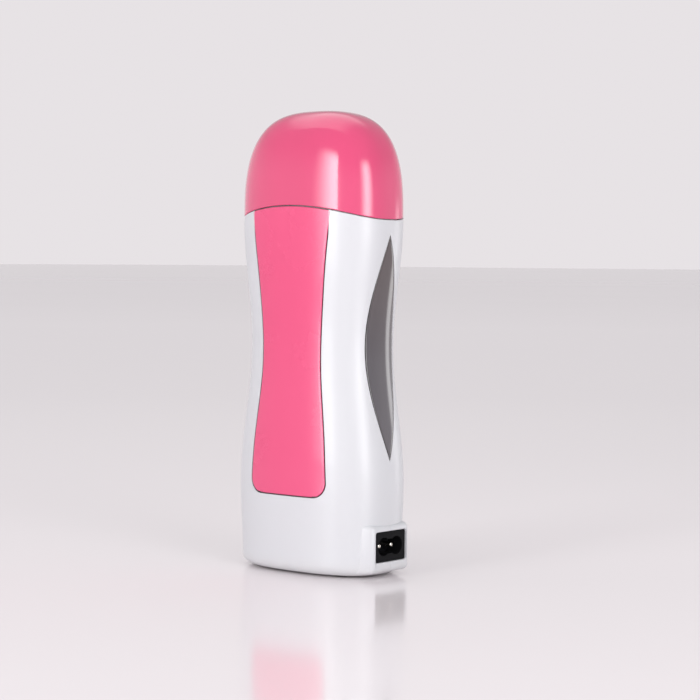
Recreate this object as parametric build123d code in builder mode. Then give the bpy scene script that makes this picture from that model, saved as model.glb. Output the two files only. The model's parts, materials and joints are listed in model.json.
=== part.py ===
from build123d import *
from math import cos, pi, radians, sin, tan
import os

# Handheld roll-on wax heater: a waisted two-part housing with an insulated cartridge well,
# a plate heater under the well, a mains inlet low on one narrow side and a lift-off cap.
# X runs across the wide front, the front faces -Y, +Z is up. The origin is on the table,
# under the middle of the housing. All sizes are in millimetres.

os.makedirs("parts", exist_ok=True)

# Housing outline: half width and half depth of the oval at each named height
overall_height = 209.0
foot_stand = 0.8
oval_power = 2.6
oval_points = 24
oval_seam = 5.5
base_half = (39.6, 24.2)
hip_height, hip_half = 40.0, (41.0, 24.9)
waist_height, waist_half = 103.0, (35.0, 22.3)
shoulder_height, shoulder_half = 160.0, (40.0, 24.0)
section_spacing = 10.0
crown_power = 2.85
crown_steps = (0.22, 0.42, 0.58, 0.71, 0.81, 0.89, 0.95, 0.985)

# Housing walls
shell_wall = 2.2
floor_thickness = 2.5
base_round = 4.8
cavity_round = 3.0

# Joint between the housing and the cap: an arc that is high in the middle of the front and back
joint_crest = 165.4
joint_droop = 6.2
joint_gap = 0.4
cap_wall = 2.0
cap_fit = 0.3
neck_wall = 1.8
neck_root = 156.5
neck_top = 176.0
neck_lead_in = 0.5

# Inlaid front panel
panel_bottom = 35.7
panel_bottom_half = 22.5
panel_thigh_height, panel_thigh_half = 58.0, 21.1
panel_waist_height, panel_waist_half = 99.0, 17.2
panel_chest_height, panel_chest_half = 128.0, 18.9
panel_top_half = 23.4
panel_corner = 7.0
panel_thickness = 1.2
panel_seam = 0.3
panel_bed = 0.1
peg_radius = 1.25
peg_length = 2.8
peg_clearance = 0.1
peg_places = ((12.0, 44.0), (13.0, 158.5))

# Side windows: a pointed oval, one on each narrow side
window_bottom = 51.8
window_top = 152.7
window_half_width = 9.4
window_gap = 0.25
window_lip = 1.5
window_lip_thickness = 1.2

# Cartridge well and its heated cup
well_half = (30.0, 18.9)
well_power = 3.0
well_wall = 1.2
well_bottom = 58.0
well_lip = 1.5
well_mouth = (43.0, 22.0)
well_mouth_corner = 3.0
flange_bottom = 172.0
flange_thickness = 2.0
flange_groove = 0.9
slot_bottom, slot_top, slot_width = 72.0, 140.0, 15.0
cup_fit = 0.3
cup_wall = 1.0
cup_floor = 2.0
cup_height = 30.0

# Plate heater under the cup
film_thickness = 0.2
film_length = 30.0
electrode_size = (28.0, 15.0)
electrode_thickness = 0.5
chip_size = (24.0, 14.0)
chip_thickness = 2.0
tab_width = 4.2
tab_side = 10.4
tab_joint = (16.6, 9.5)
clamp_width = 16.0
clamp_length = 58.0
clamp_thickness = 1.2
clamp_screw_x = 25.5
clamp_boss_radius = 2.8
clip_width = 7.0
clip_thickness = 0.8

# Thermal fuse
fuse_radius = 2.0
fuse_length = 10.0
fuse_wire_radius = 0.5
fuse_wire_reach = 11.0
sleeve_gap = 0.1
sleeve_wall = 0.4
sleeve_length = 15.0
splice_radius = 1.4
splice_length = 6.0

# Mains inlet, figure-of-eight pattern with two round pins
pin_spacing = 8.6
pin_radius = 1.2
pin_root_radius = 1.5
pin_tip = 38.6
pin_nose = 0.9
inlet_size = (20.6, 13.3)
inlet_corner = 0.8
inlet_centre = 14.0
inlet_face = 41.0
inlet_back = 24.0
inlet_gap = 0.2
recess_depth = 11.0
recess_lobe = 4.15
recess_neck = 6.6
collar_size = (24.4, 17.1)
collar_thickness = 2.0
blade_back = 16.0
blade_size = (0.8, 4.8)
blade_clearance = 0.1
block_face = 41.6
block_root = 33.0
block_top, block_bottom = 23.4, 2.7
block_half = 12.6
block_flare = 0.3
block_rise = 0.16
block_round = 1.5
keeper_thickness = 1.6

# Terminals and leads
lead_radius = 0.9
terminal_size = (7.5, 2.6, 6.2)
barrel_radius = 1.5
barrel_length = 5.0
bend_share = 0.45
live_run = ((-10, 2, 20), (-14, -6, 30), (-12, -13, 40), (-7, -17.5, 48))
live_turn_x, live_turn_y = -2.0, -20.0
neutral_run = ((-6, -6, 20), (-3, -9, 28), (7, -11, 35), (15, -10.5, 43))
neutral_turn_x, neutral_rise = 0.0, 50.0
link_run = ((5, 18.5, 48.5), (12, 15, 45))
link_turn_y, link_rise = 17.0, 48.5

# Fasteners and feet
screw_radius = 1.25
screw_head_radius = 2.2
screw_head_height = 1.8
screw_clearance = 0.2
screw_seat = 7.0
screw_reach = 6.0
screw_socket_radius = 0.9
head_flat_share = 0.7
head_bulge_share = 0.93
shell_screw_places = ((28.0, 32.0, 3.6), (33.6, 157.5, 3.1))
clamp_screw_length = 4.8
foot_radius = 4.0
foot_thickness = 2.0
foot_round = 0.4
foot_gap = 0.15
foot_places = (22.0, 10.5)

# Sizes worked out from those above
clear = 80.0
overcut = 1.0
housing_bottom = foot_stand
cavity_bottom = foot_stand + floor_thickness
neck_inset = cap_wall + cap_fit
neck_bore_inset = neck_inset + neck_wall
cup_bottom = well_bottom + well_lip
flange_top = flange_bottom + flange_thickness
heater_top = cup_bottom
clamp_top = heater_top - 2 * film_thickness - 2 * electrode_thickness - chip_thickness
clamp_bottom = clamp_top - clamp_thickness
clip_bottom = clamp_bottom - clip_thickness
sleeve_radius = fuse_radius + sleeve_gap + sleeve_wall
fuse_height = clamp_bottom - sleeve_radius - sleeve_gap
recess_floor = inlet_face - recess_depth
pin_places = [(-pin_spacing / 2, inlet_centre), (pin_spacing / 2, inlet_centre)]
screw_spots = [(-clamp_screw_x, 0), (clamp_screw_x, 0)]
sides = (-1, 1)
foot_spots = [(x * foot_places[0], y * foot_places[1], foot_thickness / 2)
              for x in sides for y in sides]


def oval(half_x, half_y, power):
    """Points round a rounded oval that is fuller at its corners than an ellipse."""
    points = []
    for step in range(oval_points):
        turn = 2 * pi * (step + oval_seam) / oval_points
        reach = (abs(cos(turn)) ** power + abs(sin(turn)) ** power) ** (-1 / power)
        points.append((half_x * cos(turn) * reach, half_y * sin(turn) * reach))
    return points


def crown_levels():
    """The sections of the dome, from the shoulder to the small flat at the very top."""
    rise = (overall_height - shoulder_height) / crown_steps[-1]
    levels = []
    for step in crown_steps:
        share = (1 - step**crown_power) ** (1 / crown_power)
        levels.append((shoulder_height + rise * step, shoulder_half[0] * share, shoulder_half[1] * share))
    return levels


def trunk_levels(bottom):
    """The sections of the waisted trunk: its size eases from each named height to the next."""
    named = [(bottom, base_half), (hip_height, hip_half), (waist_height, waist_half),
             (shoulder_height, shoulder_half)]
    levels = []
    for (low, low_half), (high, high_half) in zip(named, named[1:]):
        steps = round((high - low) / section_spacing)
        for step in range(steps):
            share = (1 - cos(pi * step / steps)) / 2
            half_x, half_y = [a + (b - a) * share for a, b in zip(low_half, high_half)]
            levels.append((low + (high - low) * step / steps, half_x, half_y))
    return levels + [(shoulder_height, *shoulder_half)]


def form(inset, bottom=housing_bottom, drop=0.0):
    """The outer form moved inwards by the inset, with its dome lowered by the drop."""
    with BuildPart() as body:
        for height, half_x, half_y in trunk_levels(bottom) + crown_levels():
            level = height - drop if height > shoulder_height else height
            with BuildSketch(Plane.XY.offset(level)):
                with BuildLine():
                    Spline(*oval(half_x - inset, half_y - inset, oval_power), periodic=True)
                make_face()
        loft()
    return body.part


def prism(half_x, half_y, power, bottom, top):
    """An upright oval prism between two heights."""
    with BuildPart() as body:
        with BuildSketch(Plane.XY.offset(bottom)):
            with BuildLine():
                Spline(*oval(half_x, half_y, power), periodic=True)
            make_face()
        extrude(amount=top - bottom)
    return body.part


def below_joint(shift=0.0):
    """Everything under the arched joint line, moved up by the shift."""
    side = joint_crest - joint_droop * (clear / shoulder_half[0]) ** 2 + shift
    with BuildPart() as region:
        with BuildSketch(Plane.XZ):
            with BuildLine():
                Polyline((clear, side), (clear, -clear), (-clear, -clear), (-clear, side))
                ThreePointArc((-clear, side), (0, joint_crest + shift), (clear, side))
            make_face()
        extrude(amount=clear, both=True)
    return region.part


def panel_outline(grow):
    """The hourglass outline of the front panel on the XZ plane, grown by the seam."""
    top = joint_crest + grow
    bottom = panel_bottom - grow
    edge = [
        (panel_bottom_half + grow, bottom),
        (panel_thigh_half + grow, panel_thigh_height),
        (panel_waist_half + grow, panel_waist_height),
        (panel_chest_half + grow, panel_chest_height),
        (panel_top_half + grow, top),
    ]
    with BuildSketch(Plane.XZ) as outline:
        with BuildLine():
            right = Spline(*edge)
            left = Spline(*[(-across, up) for across, up in edge])
            Line(right @ 0, left @ 0)
            Line(right @ 1, left @ 1)
        make_face()
        fillet(outline.vertices().group_by(Axis.Z)[0], panel_corner + grow)
    return outline.sketch


def window_outline(grow):
    """The pointed oval of a side window on the YZ plane, grown by a margin."""
    middle = (window_bottom + window_top) / 2
    low, high = window_bottom - grow, window_top + grow
    with BuildSketch(Plane.YZ) as outline:
        with BuildLine():
            for side in sides:
                ThreePointArc((0, low), (side * (window_half_width + grow), middle), (0, high))
        make_face()
    return outline.sketch


def rounded_bar(size, corner, near, far):
    """A bar along X with rounded long edges, centred on the inlet's own axis."""
    with BuildPart() as bar:
        with BuildSketch(Plane.YZ.offset(near)):
            with Locations((0, inlet_centre)):
                RectangleRounded(*size, corner)
        extrude(amount=far - near)
    return bar.part


def rod_y(across, up, radius, near, far):
    """A round rod along Y between two depths."""
    with BuildPart() as rod:
        with BuildSketch(Plane.XZ.offset(-near)):
            with Locations((across, up)):
                Circle(radius)
        extrude(amount=near - far)
    return rod.part


def bend_radii(route):
    """The largest bend that each corner of a lead's route has room for."""
    radii = []
    for before, corner, after in zip(route, route[1:], route[2:]):
        run_in = Vector(*corner) - Vector(*before)
        run_out = Vector(*after) - Vector(*corner)
        half_turn = radians(run_in.get_angle(run_out)) / 2
        radii.append(bend_share * min(run_in.length, run_out.length) / tan(half_turn))
    return radii


def lead(route):
    """A round insulated lead along straight runs joined by bends."""
    with BuildPart() as wire:
        with BuildLine() as path:
            FilletPolyline(*route, radius=bend_radii(route))
        with BuildSketch(Plane(origin=path.line @ 0, z_dir=path.line % 0)):
            Circle(lead_radius)
        sweep(path=path.line)
    return wire.part


def keep(name, piece):
    """Label a finished piece and write its file."""
    piece.label = name
    export_step(piece, f"parts/{name}.step")
    print(f"{name:18s} {len(piece.solids())} solid(s) {piece.volume:10.1f} mm3")


outer_form = form(0)
inner_form = form(shell_wall, bottom=cavity_bottom)
neck_form = form(neck_inset)
neck_bore_form = form(neck_bore_inset)
groove_form = form(neck_bore_inset - flange_groove)

# The housing: trunk, neck and inlet block in one, before it is parted
with BuildPart() as trunk_cavity:
    add(inner_form)
    fillet(trunk_cavity.edges().group_by(Axis.Z)[0], cavity_round)
    split(bisect_by=Plane.XY.offset(neck_root), keep=Keep.BOTTOM)

with BuildPart() as neck_bore:
    add(neck_bore_form)
    split(bisect_by=Plane.XY.offset(neck_root), keep=Keep.TOP)

with BuildPart() as neck:
    add(neck_form)
    split(bisect_by=Plane.XY.offset(neck_root), keep=Keep.TOP)
    split(bisect_by=Plane.XY.offset(neck_top), keep=Keep.BOTTOM)
    chamfer(neck.edges().group_by(Axis.Z)[-1], neck_lead_in)

with BuildPart() as groove:
    add(groove_form)
    split(bisect_by=Plane.XY.offset(flange_bottom), keep=Keep.TOP)
    split(bisect_by=Plane.XY.offset(flange_top), keep=Keep.BOTTOM)

with BuildPart() as inlet_block:
    for station in (block_root, block_face):
        back = block_face - station
        height = block_top - block_bottom + 2 * block_rise * back
        with BuildSketch(Plane.YZ.offset(station)):
            with Locations((0, (block_top + block_bottom) / 2)):
                RectangleRounded(2 * (block_half + block_flare * back), height, block_round)
    loft()
    fillet(inlet_block.faces().sort_by(Axis.X)[-1].edges(), block_round / 2)

with BuildPart() as housing:
    add(outer_form)
    fillet(housing.edges().group_by(Axis.Z)[0], base_round)
    add(below_joint(), mode=Mode.INTERSECT)
    add(neck)
    add(trunk_cavity, mode=Mode.SUBTRACT)
    add(neck_bore, mode=Mode.SUBTRACT)
    add(groove, mode=Mode.SUBTRACT)
    add(inlet_block)
    inlet_opening = (inlet_size[0] + 2 * inlet_gap, inlet_size[1] + 2 * inlet_gap)
    add(rounded_bar(inlet_opening, inlet_corner + inlet_gap, block_root - overcut, block_face + overcut),
        mode=Mode.SUBTRACT)
    for side in sides:
        extrude(window_outline(window_gap), side * clear, mode=Mode.SUBTRACT)
    with Locations(*foot_spots):
        Cylinder(foot_radius + foot_gap, foot_thickness, mode=Mode.SUBTRACT)


def half_housing(facing, boss_hole):
    """One half of the housing, front (-1) or back (+1), with its screw bosses and inlet keepers."""
    with BuildPart() as pillars:
        for across, up, radius in shell_screw_places:
            for side in sides:
                add(rod_y(side * across, up, radius, 0, facing * clear))
        keeper_back = block_root - collar_thickness - keeper_thickness
        keeper_side = inlet_size[0] / 2 + inlet_gap
        with Locations((keeper_back + keeper_thickness / 2, facing * (keeper_side + clear / 2), inlet_centre)):
            Box(keeper_thickness, clear, collar_size[1])
        add(form(shell_wall / 2), mode=Mode.INTERSECT)
    with BuildPart() as half:
        add(housing)
        split(bisect_by=Plane.XZ, keep=Keep.TOP if facing < 0 else Keep.BOTTOM)
        add(pillars)
        for across, up, _ in shell_screw_places:
            for side in sides:
                add(boss_hole(side * across, up), mode=Mode.SUBTRACT)
    return half.part


def blind_hole(across, up):
    """The front half's hole, which the thread of a shell screw bites into."""
    return rod_y(across, up, screw_radius, overcut, -screw_reach - overcut)


def stepped_hole(across, up):
    """The back half's hole: clearance for the shank, and a deep counterbore for the head."""
    with BuildPart() as hole:
        add(rod_y(across, up, screw_radius + screw_clearance, -overcut, clear))
        add(rod_y(across, up, screw_head_radius + screw_clearance, screw_seat, clear))
    return hole.part


# Front shell, with the shallow bed of the panel and the holes for its pegs
with BuildPart() as panel_bed_cut:
    extrude(panel_outline(panel_seam), clear)
    add(form(panel_thickness + panel_bed), mode=Mode.SUBTRACT)

with BuildPart() as front_shell:
    add(half_housing(-1, blind_hole))
    add(panel_bed_cut, mode=Mode.SUBTRACT)
    for across, up in peg_places:
        for side in sides:
            add(rod_y(side * across, up, peg_radius + peg_clearance, -well_half[1], -clear),
                mode=Mode.SUBTRACT)
keep("front_shell", front_shell.part)

with BuildPart() as back_shell:
    add(half_housing(1, stepped_hole))
keep("back_shell", back_shell.part)

# Front panel: a skin of even thickness with four locating pegs on its back
with BuildPart() as panel_pegs:
    for across, up in peg_places:
        for side in sides:
            add(rod_y(side * across, up, peg_radius, 0, -clear))
    add(form(panel_thickness / 2), mode=Mode.INTERSECT)
    add(form(panel_thickness + peg_length), mode=Mode.SUBTRACT)

with BuildPart() as front_panel:
    extrude(panel_outline(0), clear)
    add(outer_form, mode=Mode.INTERSECT)
    add(form(panel_thickness), mode=Mode.SUBTRACT)
    add(below_joint(), mode=Mode.INTERSECT)
    add(panel_pegs)
keep("front_panel", front_panel.part)

# Side windows: a smoked lens that fills its opening, with a lip cemented behind the wall
for name, side in (("window_left", -1), ("window_right", 1)):
    with BuildPart() as lens_lip:
        extrude(window_outline(window_lip), side * clear)
        add(form(shell_wall + window_gap), mode=Mode.INTERSECT)
        add(form(shell_wall + window_gap + window_lip_thickness), mode=Mode.SUBTRACT)
    with BuildPart() as lens:
        extrude(window_outline(0), side * clear)
        add(outer_form, mode=Mode.INTERSECT)
        add(form(shell_wall + window_gap + window_lip_thickness), mode=Mode.SUBTRACT)
        add(lens_lip)
    keep(name, lens.part)

# Cap: the dome above the joint line, hollow with an even wall
with BuildPart() as cap:
    add(outer_form)
    add(below_joint(joint_gap), mode=Mode.SUBTRACT)
    add(form(cap_wall, drop=cap_wall), mode=Mode.SUBTRACT)
keep("cap", cap.part)

# Cartridge well: an open-ended oval tube with a flange caught in the neck and a lip for the cup
with BuildPart() as cartridge_well:
    add(form(neck_bore_inset - flange_groove + cap_fit))
    split(bisect_by=Plane.XY.offset(flange_bottom), keep=Keep.TOP)
    split(bisect_by=Plane.XY.offset(flange_top), keep=Keep.BOTTOM)
    add(prism(*well_half, well_power, well_bottom, flange_top))
    bore_half = (well_half[0] - well_wall, well_half[1] - well_wall)
    add(prism(*bore_half, well_power, cup_bottom, flange_top), mode=Mode.SUBTRACT)
    with BuildSketch(Plane.XY.offset(well_bottom)):
        RectangleRounded(*well_mouth, well_mouth_corner)
    extrude(amount=well_lip, mode=Mode.SUBTRACT)
    with BuildSketch(Plane.YZ):
        with Locations((0, (slot_bottom + slot_top) / 2)):
            SlotOverall(slot_top - slot_bottom, slot_width, rotation=90)
    extrude(amount=clear, both=True, mode=Mode.SUBTRACT)
    with BuildSketch(Plane.XY.offset(clamp_top)):
        with Locations(*screw_spots):
            Circle(clamp_boss_radius)
    extrude(amount=well_bottom - clamp_top)
    with BuildSketch(Plane.XY.offset(clamp_top)):
        with Locations(*screw_spots):
            Circle(screw_radius)
    extrude(amount=clamp_screw_length - clamp_thickness - clip_thickness + cup_fit, mode=Mode.SUBTRACT)
keep("cartridge_well", cartridge_well.part)

# Heated cup: the aluminium bottom of the well, which the cartridge stands in
cup_half = (bore_half[0] - cup_fit, bore_half[1] - cup_fit)
with BuildPart() as heater_cup:
    add(prism(*cup_half, well_power, cup_bottom, cup_bottom + cup_height))
    fillet(heater_cup.edges().group_by(Axis.Z)[0], cup_wall)
    cup_bore = (cup_half[0] - cup_wall, cup_half[1] - cup_wall)
    add(prism(*cup_bore, well_power, cup_bottom + cup_floor, cup_bottom + cup_height), mode=Mode.SUBTRACT)
keep("heater_cup", heater_cup.part)

# Heater pack: ceramic chip between two electrode plates, wrapped in an insulating film
chip_bottom = clamp_top + film_thickness + electrode_thickness
with BuildPart() as ptc_chip:
    with Locations((0, 0, chip_bottom + chip_thickness / 2)):
        Box(*chip_size, chip_thickness)
keep("ptc_chip", ptc_chip.part)

with BuildPart() as electrode_plates:
    for level, side in ((chip_bottom - electrode_thickness, 1), (chip_bottom + chip_thickness, -1)):
        with BuildSketch(Plane.XY.offset(level)):
            Rectangle(*electrode_size)
            with Locations((electrode_size[0] / 2 + tab_width / 2, side * tab_side / 2)):
                Rectangle(tab_width, tab_side)
        extrude(amount=electrode_thickness)
keep("electrode_plates", electrode_plates.part)

pack_height = 2 * electrode_thickness + chip_thickness
with BuildPart() as insulation_film:
    with BuildSketch(Plane.YZ.offset(-film_length / 2)):
        with Locations((0, clamp_top + film_thickness + pack_height / 2)):
            Rectangle(electrode_size[1] + 2 * film_thickness, pack_height + 2 * film_thickness)
            Rectangle(electrode_size[1], pack_height, mode=Mode.SUBTRACT)
    extrude(amount=film_length)
keep("insulation_film", insulation_film.part)

# Clamp plate under the pack, and the clip that holds the thermal fuse against it
with BuildPart() as heater_clamp:
    with BuildSketch(Plane.XY.offset(clamp_bottom)):
        SlotOverall(clamp_length, clamp_width)
        with Locations(*screw_spots):
            Circle(screw_radius + screw_clearance, mode=Mode.SUBTRACT)
    extrude(amount=clamp_thickness)
keep("heater_clamp", heater_clamp.part)

with BuildPart() as fuse_clip:
    inner_reach = sleeve_radius + sleeve_gap
    outer_reach = inner_reach + clip_thickness
    throat = clamp_bottom - fuse_height
    with BuildSketch(Plane.XZ.offset(-clip_width / 2)):
        with Locations((0, clamp_bottom - clip_thickness / 2)):
            Rectangle(clamp_length, clip_thickness)
        with Locations((0, fuse_height)):
            Circle(outer_reach)
        with Locations((0, fuse_height + throat / 2)):
            Rectangle(2 * outer_reach, throat)
        with Locations((0, fuse_height)):
            Circle(inner_reach, mode=Mode.SUBTRACT)
        with Locations((0, fuse_height + throat)):
            Rectangle(2 * inner_reach, 2 * throat, mode=Mode.SUBTRACT)
        with Locations((0, clamp_bottom + clear / 2)):
            Rectangle(clear, clear, mode=Mode.SUBTRACT)
    extrude(amount=clip_width)
    with BuildSketch(Plane.XY.offset(clip_bottom)):
        with Locations(*screw_spots):
            Circle(screw_radius + screw_clearance)
    extrude(amount=clip_thickness, mode=Mode.SUBTRACT)
keep("fuse_clip", fuse_clip.part)


def screw_profile(length):
    """Half outline of a pan-head screw that points along +Y, with its seat at the origin."""
    head_flat = screw_head_radius * head_flat_share
    head_bulge = (screw_head_radius * head_bulge_share, -screw_head_height * head_flat_share)
    with BuildSketch() as profile:
        with BuildLine():
            Polyline((screw_socket_radius, -screw_head_height / 2), (screw_socket_radius, -screw_head_height),
                     (head_flat, -screw_head_height))
            ThreePointArc((head_flat, -screw_head_height), head_bulge, (screw_head_radius, 0))
            Polyline((screw_head_radius, 0), (screw_radius, 0), (screw_radius, length - screw_radius),
                     (screw_radius / 3, length), (0, length), (0, -screw_head_height / 2),
                     (screw_socket_radius, -screw_head_height / 2))
        make_face()
    return profile.sketch


def screw(length):
    """A pan-head screw with a round driver socket, standing point upwards on its seat."""
    with BuildPart() as body:
        with BuildSketch(Plane.XZ):
            add(screw_profile(length))
        revolve(axis=Axis.Z)
    return body.part


with BuildPart() as clamp_screws:
    with Locations([(x, y, clip_bottom) for x, y in screw_spots]):
        add(screw(clamp_screw_length))
keep("clamp_screws", clamp_screws.part)

with BuildPart() as shell_screws:
    spots = [(side * across, screw_seat, up) for across, up, _ in shell_screw_places for side in sides]
    with Locations([Location(spot, (90, 0, 0)) for spot in spots]):
        add(screw(screw_seat + screw_reach))
keep("shell_screws", shell_screws.part)

# Thermal fuse with its wires, its sleeve and the splices to the leads
with BuildPart() as thermal_fuse:
    with BuildSketch(Plane.XZ.offset(-fuse_length / 2)):
        with Locations((0, fuse_height)):
            Circle(fuse_radius)
    extrude(amount=fuse_length)
    fillet(thermal_fuse.edges().filter_by(GeomType.CIRCLE), fuse_radius / 4)
    add(rod_y(0, fuse_height, fuse_wire_radius, fuse_wire_reach, -fuse_wire_reach))
keep("thermal_fuse", thermal_fuse.part)

with BuildPart() as fuse_sleeve:
    add(rod_y(0, fuse_height, sleeve_radius, sleeve_length / 2, -sleeve_length / 2))
    add(rod_y(0, fuse_height, fuse_radius + sleeve_gap, clear, -clear), mode=Mode.SUBTRACT)
keep("fuse_sleeve", fuse_sleeve.part)

splice_near = fuse_wire_reach - splice_length / 2
splice_far = splice_near + splice_length
with BuildPart() as lead_splices:
    for side in sides:
        add(rod_y(0, fuse_height, splice_radius, side * splice_far, side * splice_near))
        add(rod_y(0, fuse_height, lead_radius, side * splice_far, side * fuse_wire_reach), mode=Mode.SUBTRACT)
        add(rod_y(0, fuse_height, fuse_wire_radius, side * fuse_wire_reach, side * splice_near),
            mode=Mode.SUBTRACT)
keep("lead_splices", lead_splices.part)

# Mains inlet: a black body with a figure-of-eight recess and a collar behind the block's wall
with BuildPart() as inlet_socket:
    add(rounded_bar(inlet_size, inlet_corner, inlet_back, inlet_face))
    fillet(inlet_socket.faces().sort_by(Axis.X)[-1].edges(), inlet_corner / 3)
    add(rounded_bar(collar_size, inlet_corner, block_root - collar_thickness, block_root))
    with BuildSketch(Plane.YZ.offset(inlet_face)):
        with Locations(*pin_places):
            Circle(recess_lobe)
        with Locations((0, inlet_centre)):
            Rectangle(pin_spacing, recess_neck)
    extrude(amount=-recess_depth, mode=Mode.SUBTRACT)
    with BuildSketch(Plane.YZ.offset(inlet_back)):
        with Locations(*pin_places):
            Circle(pin_root_radius)
    extrude(amount=recess_floor - inlet_back, mode=Mode.SUBTRACT)
keep("inlet_socket", inlet_socket.part)

with BuildPart() as inlet_pins:
    with BuildSketch(Plane.YZ.offset(inlet_back)):
        with Locations(*pin_places):
            Circle(pin_root_radius)
    extrude(amount=recess_floor - inlet_back)
    with BuildSketch(Plane.YZ.offset(recess_floor)):
        with Locations(*pin_places):
            Circle(pin_radius)
    extrude(amount=pin_tip - recess_floor)
    fillet(inlet_pins.edges().group_by(Axis.X)[-1], pin_nose)
    with BuildSketch(Plane.YZ.offset(blade_back)):
        with Locations(*pin_places):
            Rectangle(*blade_size)
    extrude(amount=inlet_back - blade_back)
keep("inlet_pins", inlet_pins.part)

# Push-on terminals on the inlet's blades, each with a crimped barrel for its lead
terminal_front = inlet_back - inlet_gap
terminal_back = terminal_front - terminal_size[0]
barrel_back = terminal_back - barrel_length
with BuildPart() as lead_terminals:
    with BuildSketch(Plane.YZ.offset(terminal_back)):
        with Locations(*pin_places):
            RectangleRounded(terminal_size[1], terminal_size[2], blade_size[0] / 2)
    extrude(amount=terminal_size[0])
    with BuildSketch(Plane.YZ.offset(barrel_back)):
        with Locations(*pin_places):
            Circle(barrel_radius)
    extrude(amount=barrel_length)
    with BuildSketch(Plane.YZ.offset(barrel_back)):
        with Locations(*pin_places):
            Circle(lead_radius)
    extrude(amount=barrel_length - lead_radius, mode=Mode.SUBTRACT)
    with BuildSketch(Plane.YZ.offset(terminal_front)):
        with Locations(*pin_places):
            Rectangle(blade_size[0] + 2 * blade_clearance, blade_size[1] + 2 * blade_clearance)
    extrude(amount=blade_back - terminal_front - blade_clearance, mode=Mode.SUBTRACT)
keep("lead_terminals", lead_terminals.part)

# Leads inside the housing
lower_tab = chip_bottom - electrode_thickness
upper_tab = chip_bottom + chip_thickness
lead_start = terminal_back - lead_radius
live_route = [
    (lead_start, pin_spacing / 2, inlet_centre),
    (live_turn_x, pin_spacing / 2, inlet_centre),
    *live_run,
    (0, live_turn_y, fuse_height),
    (0, -fuse_wire_reach, fuse_height),
]
neutral_route = [
    (lead_start, -pin_spacing / 2, inlet_centre),
    (neutral_turn_x, -pin_spacing / 2, inlet_centre),
    *neutral_run,
    (tab_joint[0], -tab_joint[1], neutral_rise),
    (tab_joint[0], -tab_joint[1], upper_tab),
]
link_route = [
    (0, fuse_wire_reach, fuse_height),
    (0, link_turn_y, fuse_height),
    *link_run,
    (*tab_joint, link_rise),
    (*tab_joint, lower_tab),
]
routes = {"live_lead": live_route, "neutral_lead": neutral_route, "fuse_link_lead": link_route}
for name, route in routes.items():
    keep(name, lead(route))

# Rubber feet
with BuildPart() as rubber_feet:
    with Locations(*foot_spots):
        Cylinder(foot_radius, foot_thickness)
    fillet(rubber_feet.edges().group_by(Axis.Z)[0], foot_round)
keep("rubber_feet", rubber_feet.part)
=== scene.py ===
import bpy
import bmesh
import json
from math import acos, atan2, cos, pi, radians, sin, sqrt, tan
from mathutils import Matrix, Vector


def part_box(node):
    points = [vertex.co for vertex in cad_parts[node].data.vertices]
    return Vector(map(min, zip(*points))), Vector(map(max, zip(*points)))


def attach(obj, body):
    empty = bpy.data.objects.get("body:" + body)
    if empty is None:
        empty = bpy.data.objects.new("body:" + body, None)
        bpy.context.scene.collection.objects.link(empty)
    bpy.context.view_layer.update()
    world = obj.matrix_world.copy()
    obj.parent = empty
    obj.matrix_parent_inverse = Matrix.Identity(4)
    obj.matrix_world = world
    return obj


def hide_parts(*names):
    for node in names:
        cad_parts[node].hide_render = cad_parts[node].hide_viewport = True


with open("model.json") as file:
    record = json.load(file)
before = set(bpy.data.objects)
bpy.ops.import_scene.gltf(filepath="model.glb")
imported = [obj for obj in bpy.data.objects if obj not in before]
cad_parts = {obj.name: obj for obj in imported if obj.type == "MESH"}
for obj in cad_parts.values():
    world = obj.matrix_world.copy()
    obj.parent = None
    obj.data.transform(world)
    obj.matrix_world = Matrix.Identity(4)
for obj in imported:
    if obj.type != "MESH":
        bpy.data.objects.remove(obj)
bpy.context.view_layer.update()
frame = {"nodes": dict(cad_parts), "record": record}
nodes = frame["nodes"]

# Roll-on wax heater: housing, panel, windows, cap and inlet are remade here with soft edges,
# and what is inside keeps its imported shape. Metres, +Z up, the panel faces -Y.
shellLow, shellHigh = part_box("front_shell")
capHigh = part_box("cap")[1]
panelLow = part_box("front_panel")[0]
socketLow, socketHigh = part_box("inlet_socket")

form = {
    "ovalPower": 2.6,  # how full the corners of the oval are
    "crownPower": 2.85,  # how square the shoulders of the dome are
    "crownOvershoot": 1.015,  # the dome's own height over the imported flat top
    "crownSettle": 8,  # how late the dome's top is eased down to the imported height
    "baseHalf": (0.0396, 0.0242),
    "hipHeight": 0.040,
    "hipHalf": (-shellLow.x, -shellLow.y),
    "waistHeight": 0.103,
    "waistHalf": (0.0350, 0.0223),
    "shoulderHeight": 0.160,
    "shoulderHalf": (capHigh.x, capHigh.y),
    "jointCrest": 0.1654,  # the cap's joint is an arch across the front and back
    "jointDroop": 0.0062,
    "softEdge": 0.00034,
}
crownRise = (capHigh.z - form["shoulderHeight"]) * form["crownOvershoot"]
mergeDistance = 1e-6


def settle(z):
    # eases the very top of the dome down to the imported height
    up = max(z - form["shoulderHeight"], 0) / crownRise
    return z - (crownRise - (capHigh.z - form["shoulderHeight"])) * up ** form["crownSettle"]


def ease(share):
    return (1 - cos(pi * share)) / 2


def halfSizes(z):
    # half width and half depth of the housing or the dome at a height
    if z >= form["shoulderHeight"]:
        up = min((z - form["shoulderHeight"]) / crownRise, 1)
        share = (1 - up ** form["crownPower"]) ** (1 / form["crownPower"])
        return form["shoulderHalf"][0] * share, form["shoulderHalf"][1] * share
    named = [
        (shellLow.z, form["baseHalf"]),
        (form["hipHeight"], form["hipHalf"]),
        (form["waistHeight"], form["waistHalf"]),
        (form["shoulderHeight"], form["shoulderHalf"]),
    ]
    for (low, lowHalf), (high, highHalf) in zip(named, named[1:]):
        if z <= high:
            share = ease(max(z - low, 0) / (high - low))
            return tuple(a + (b - a) * share for a, b in zip(lowHalf, highHalf))


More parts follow.
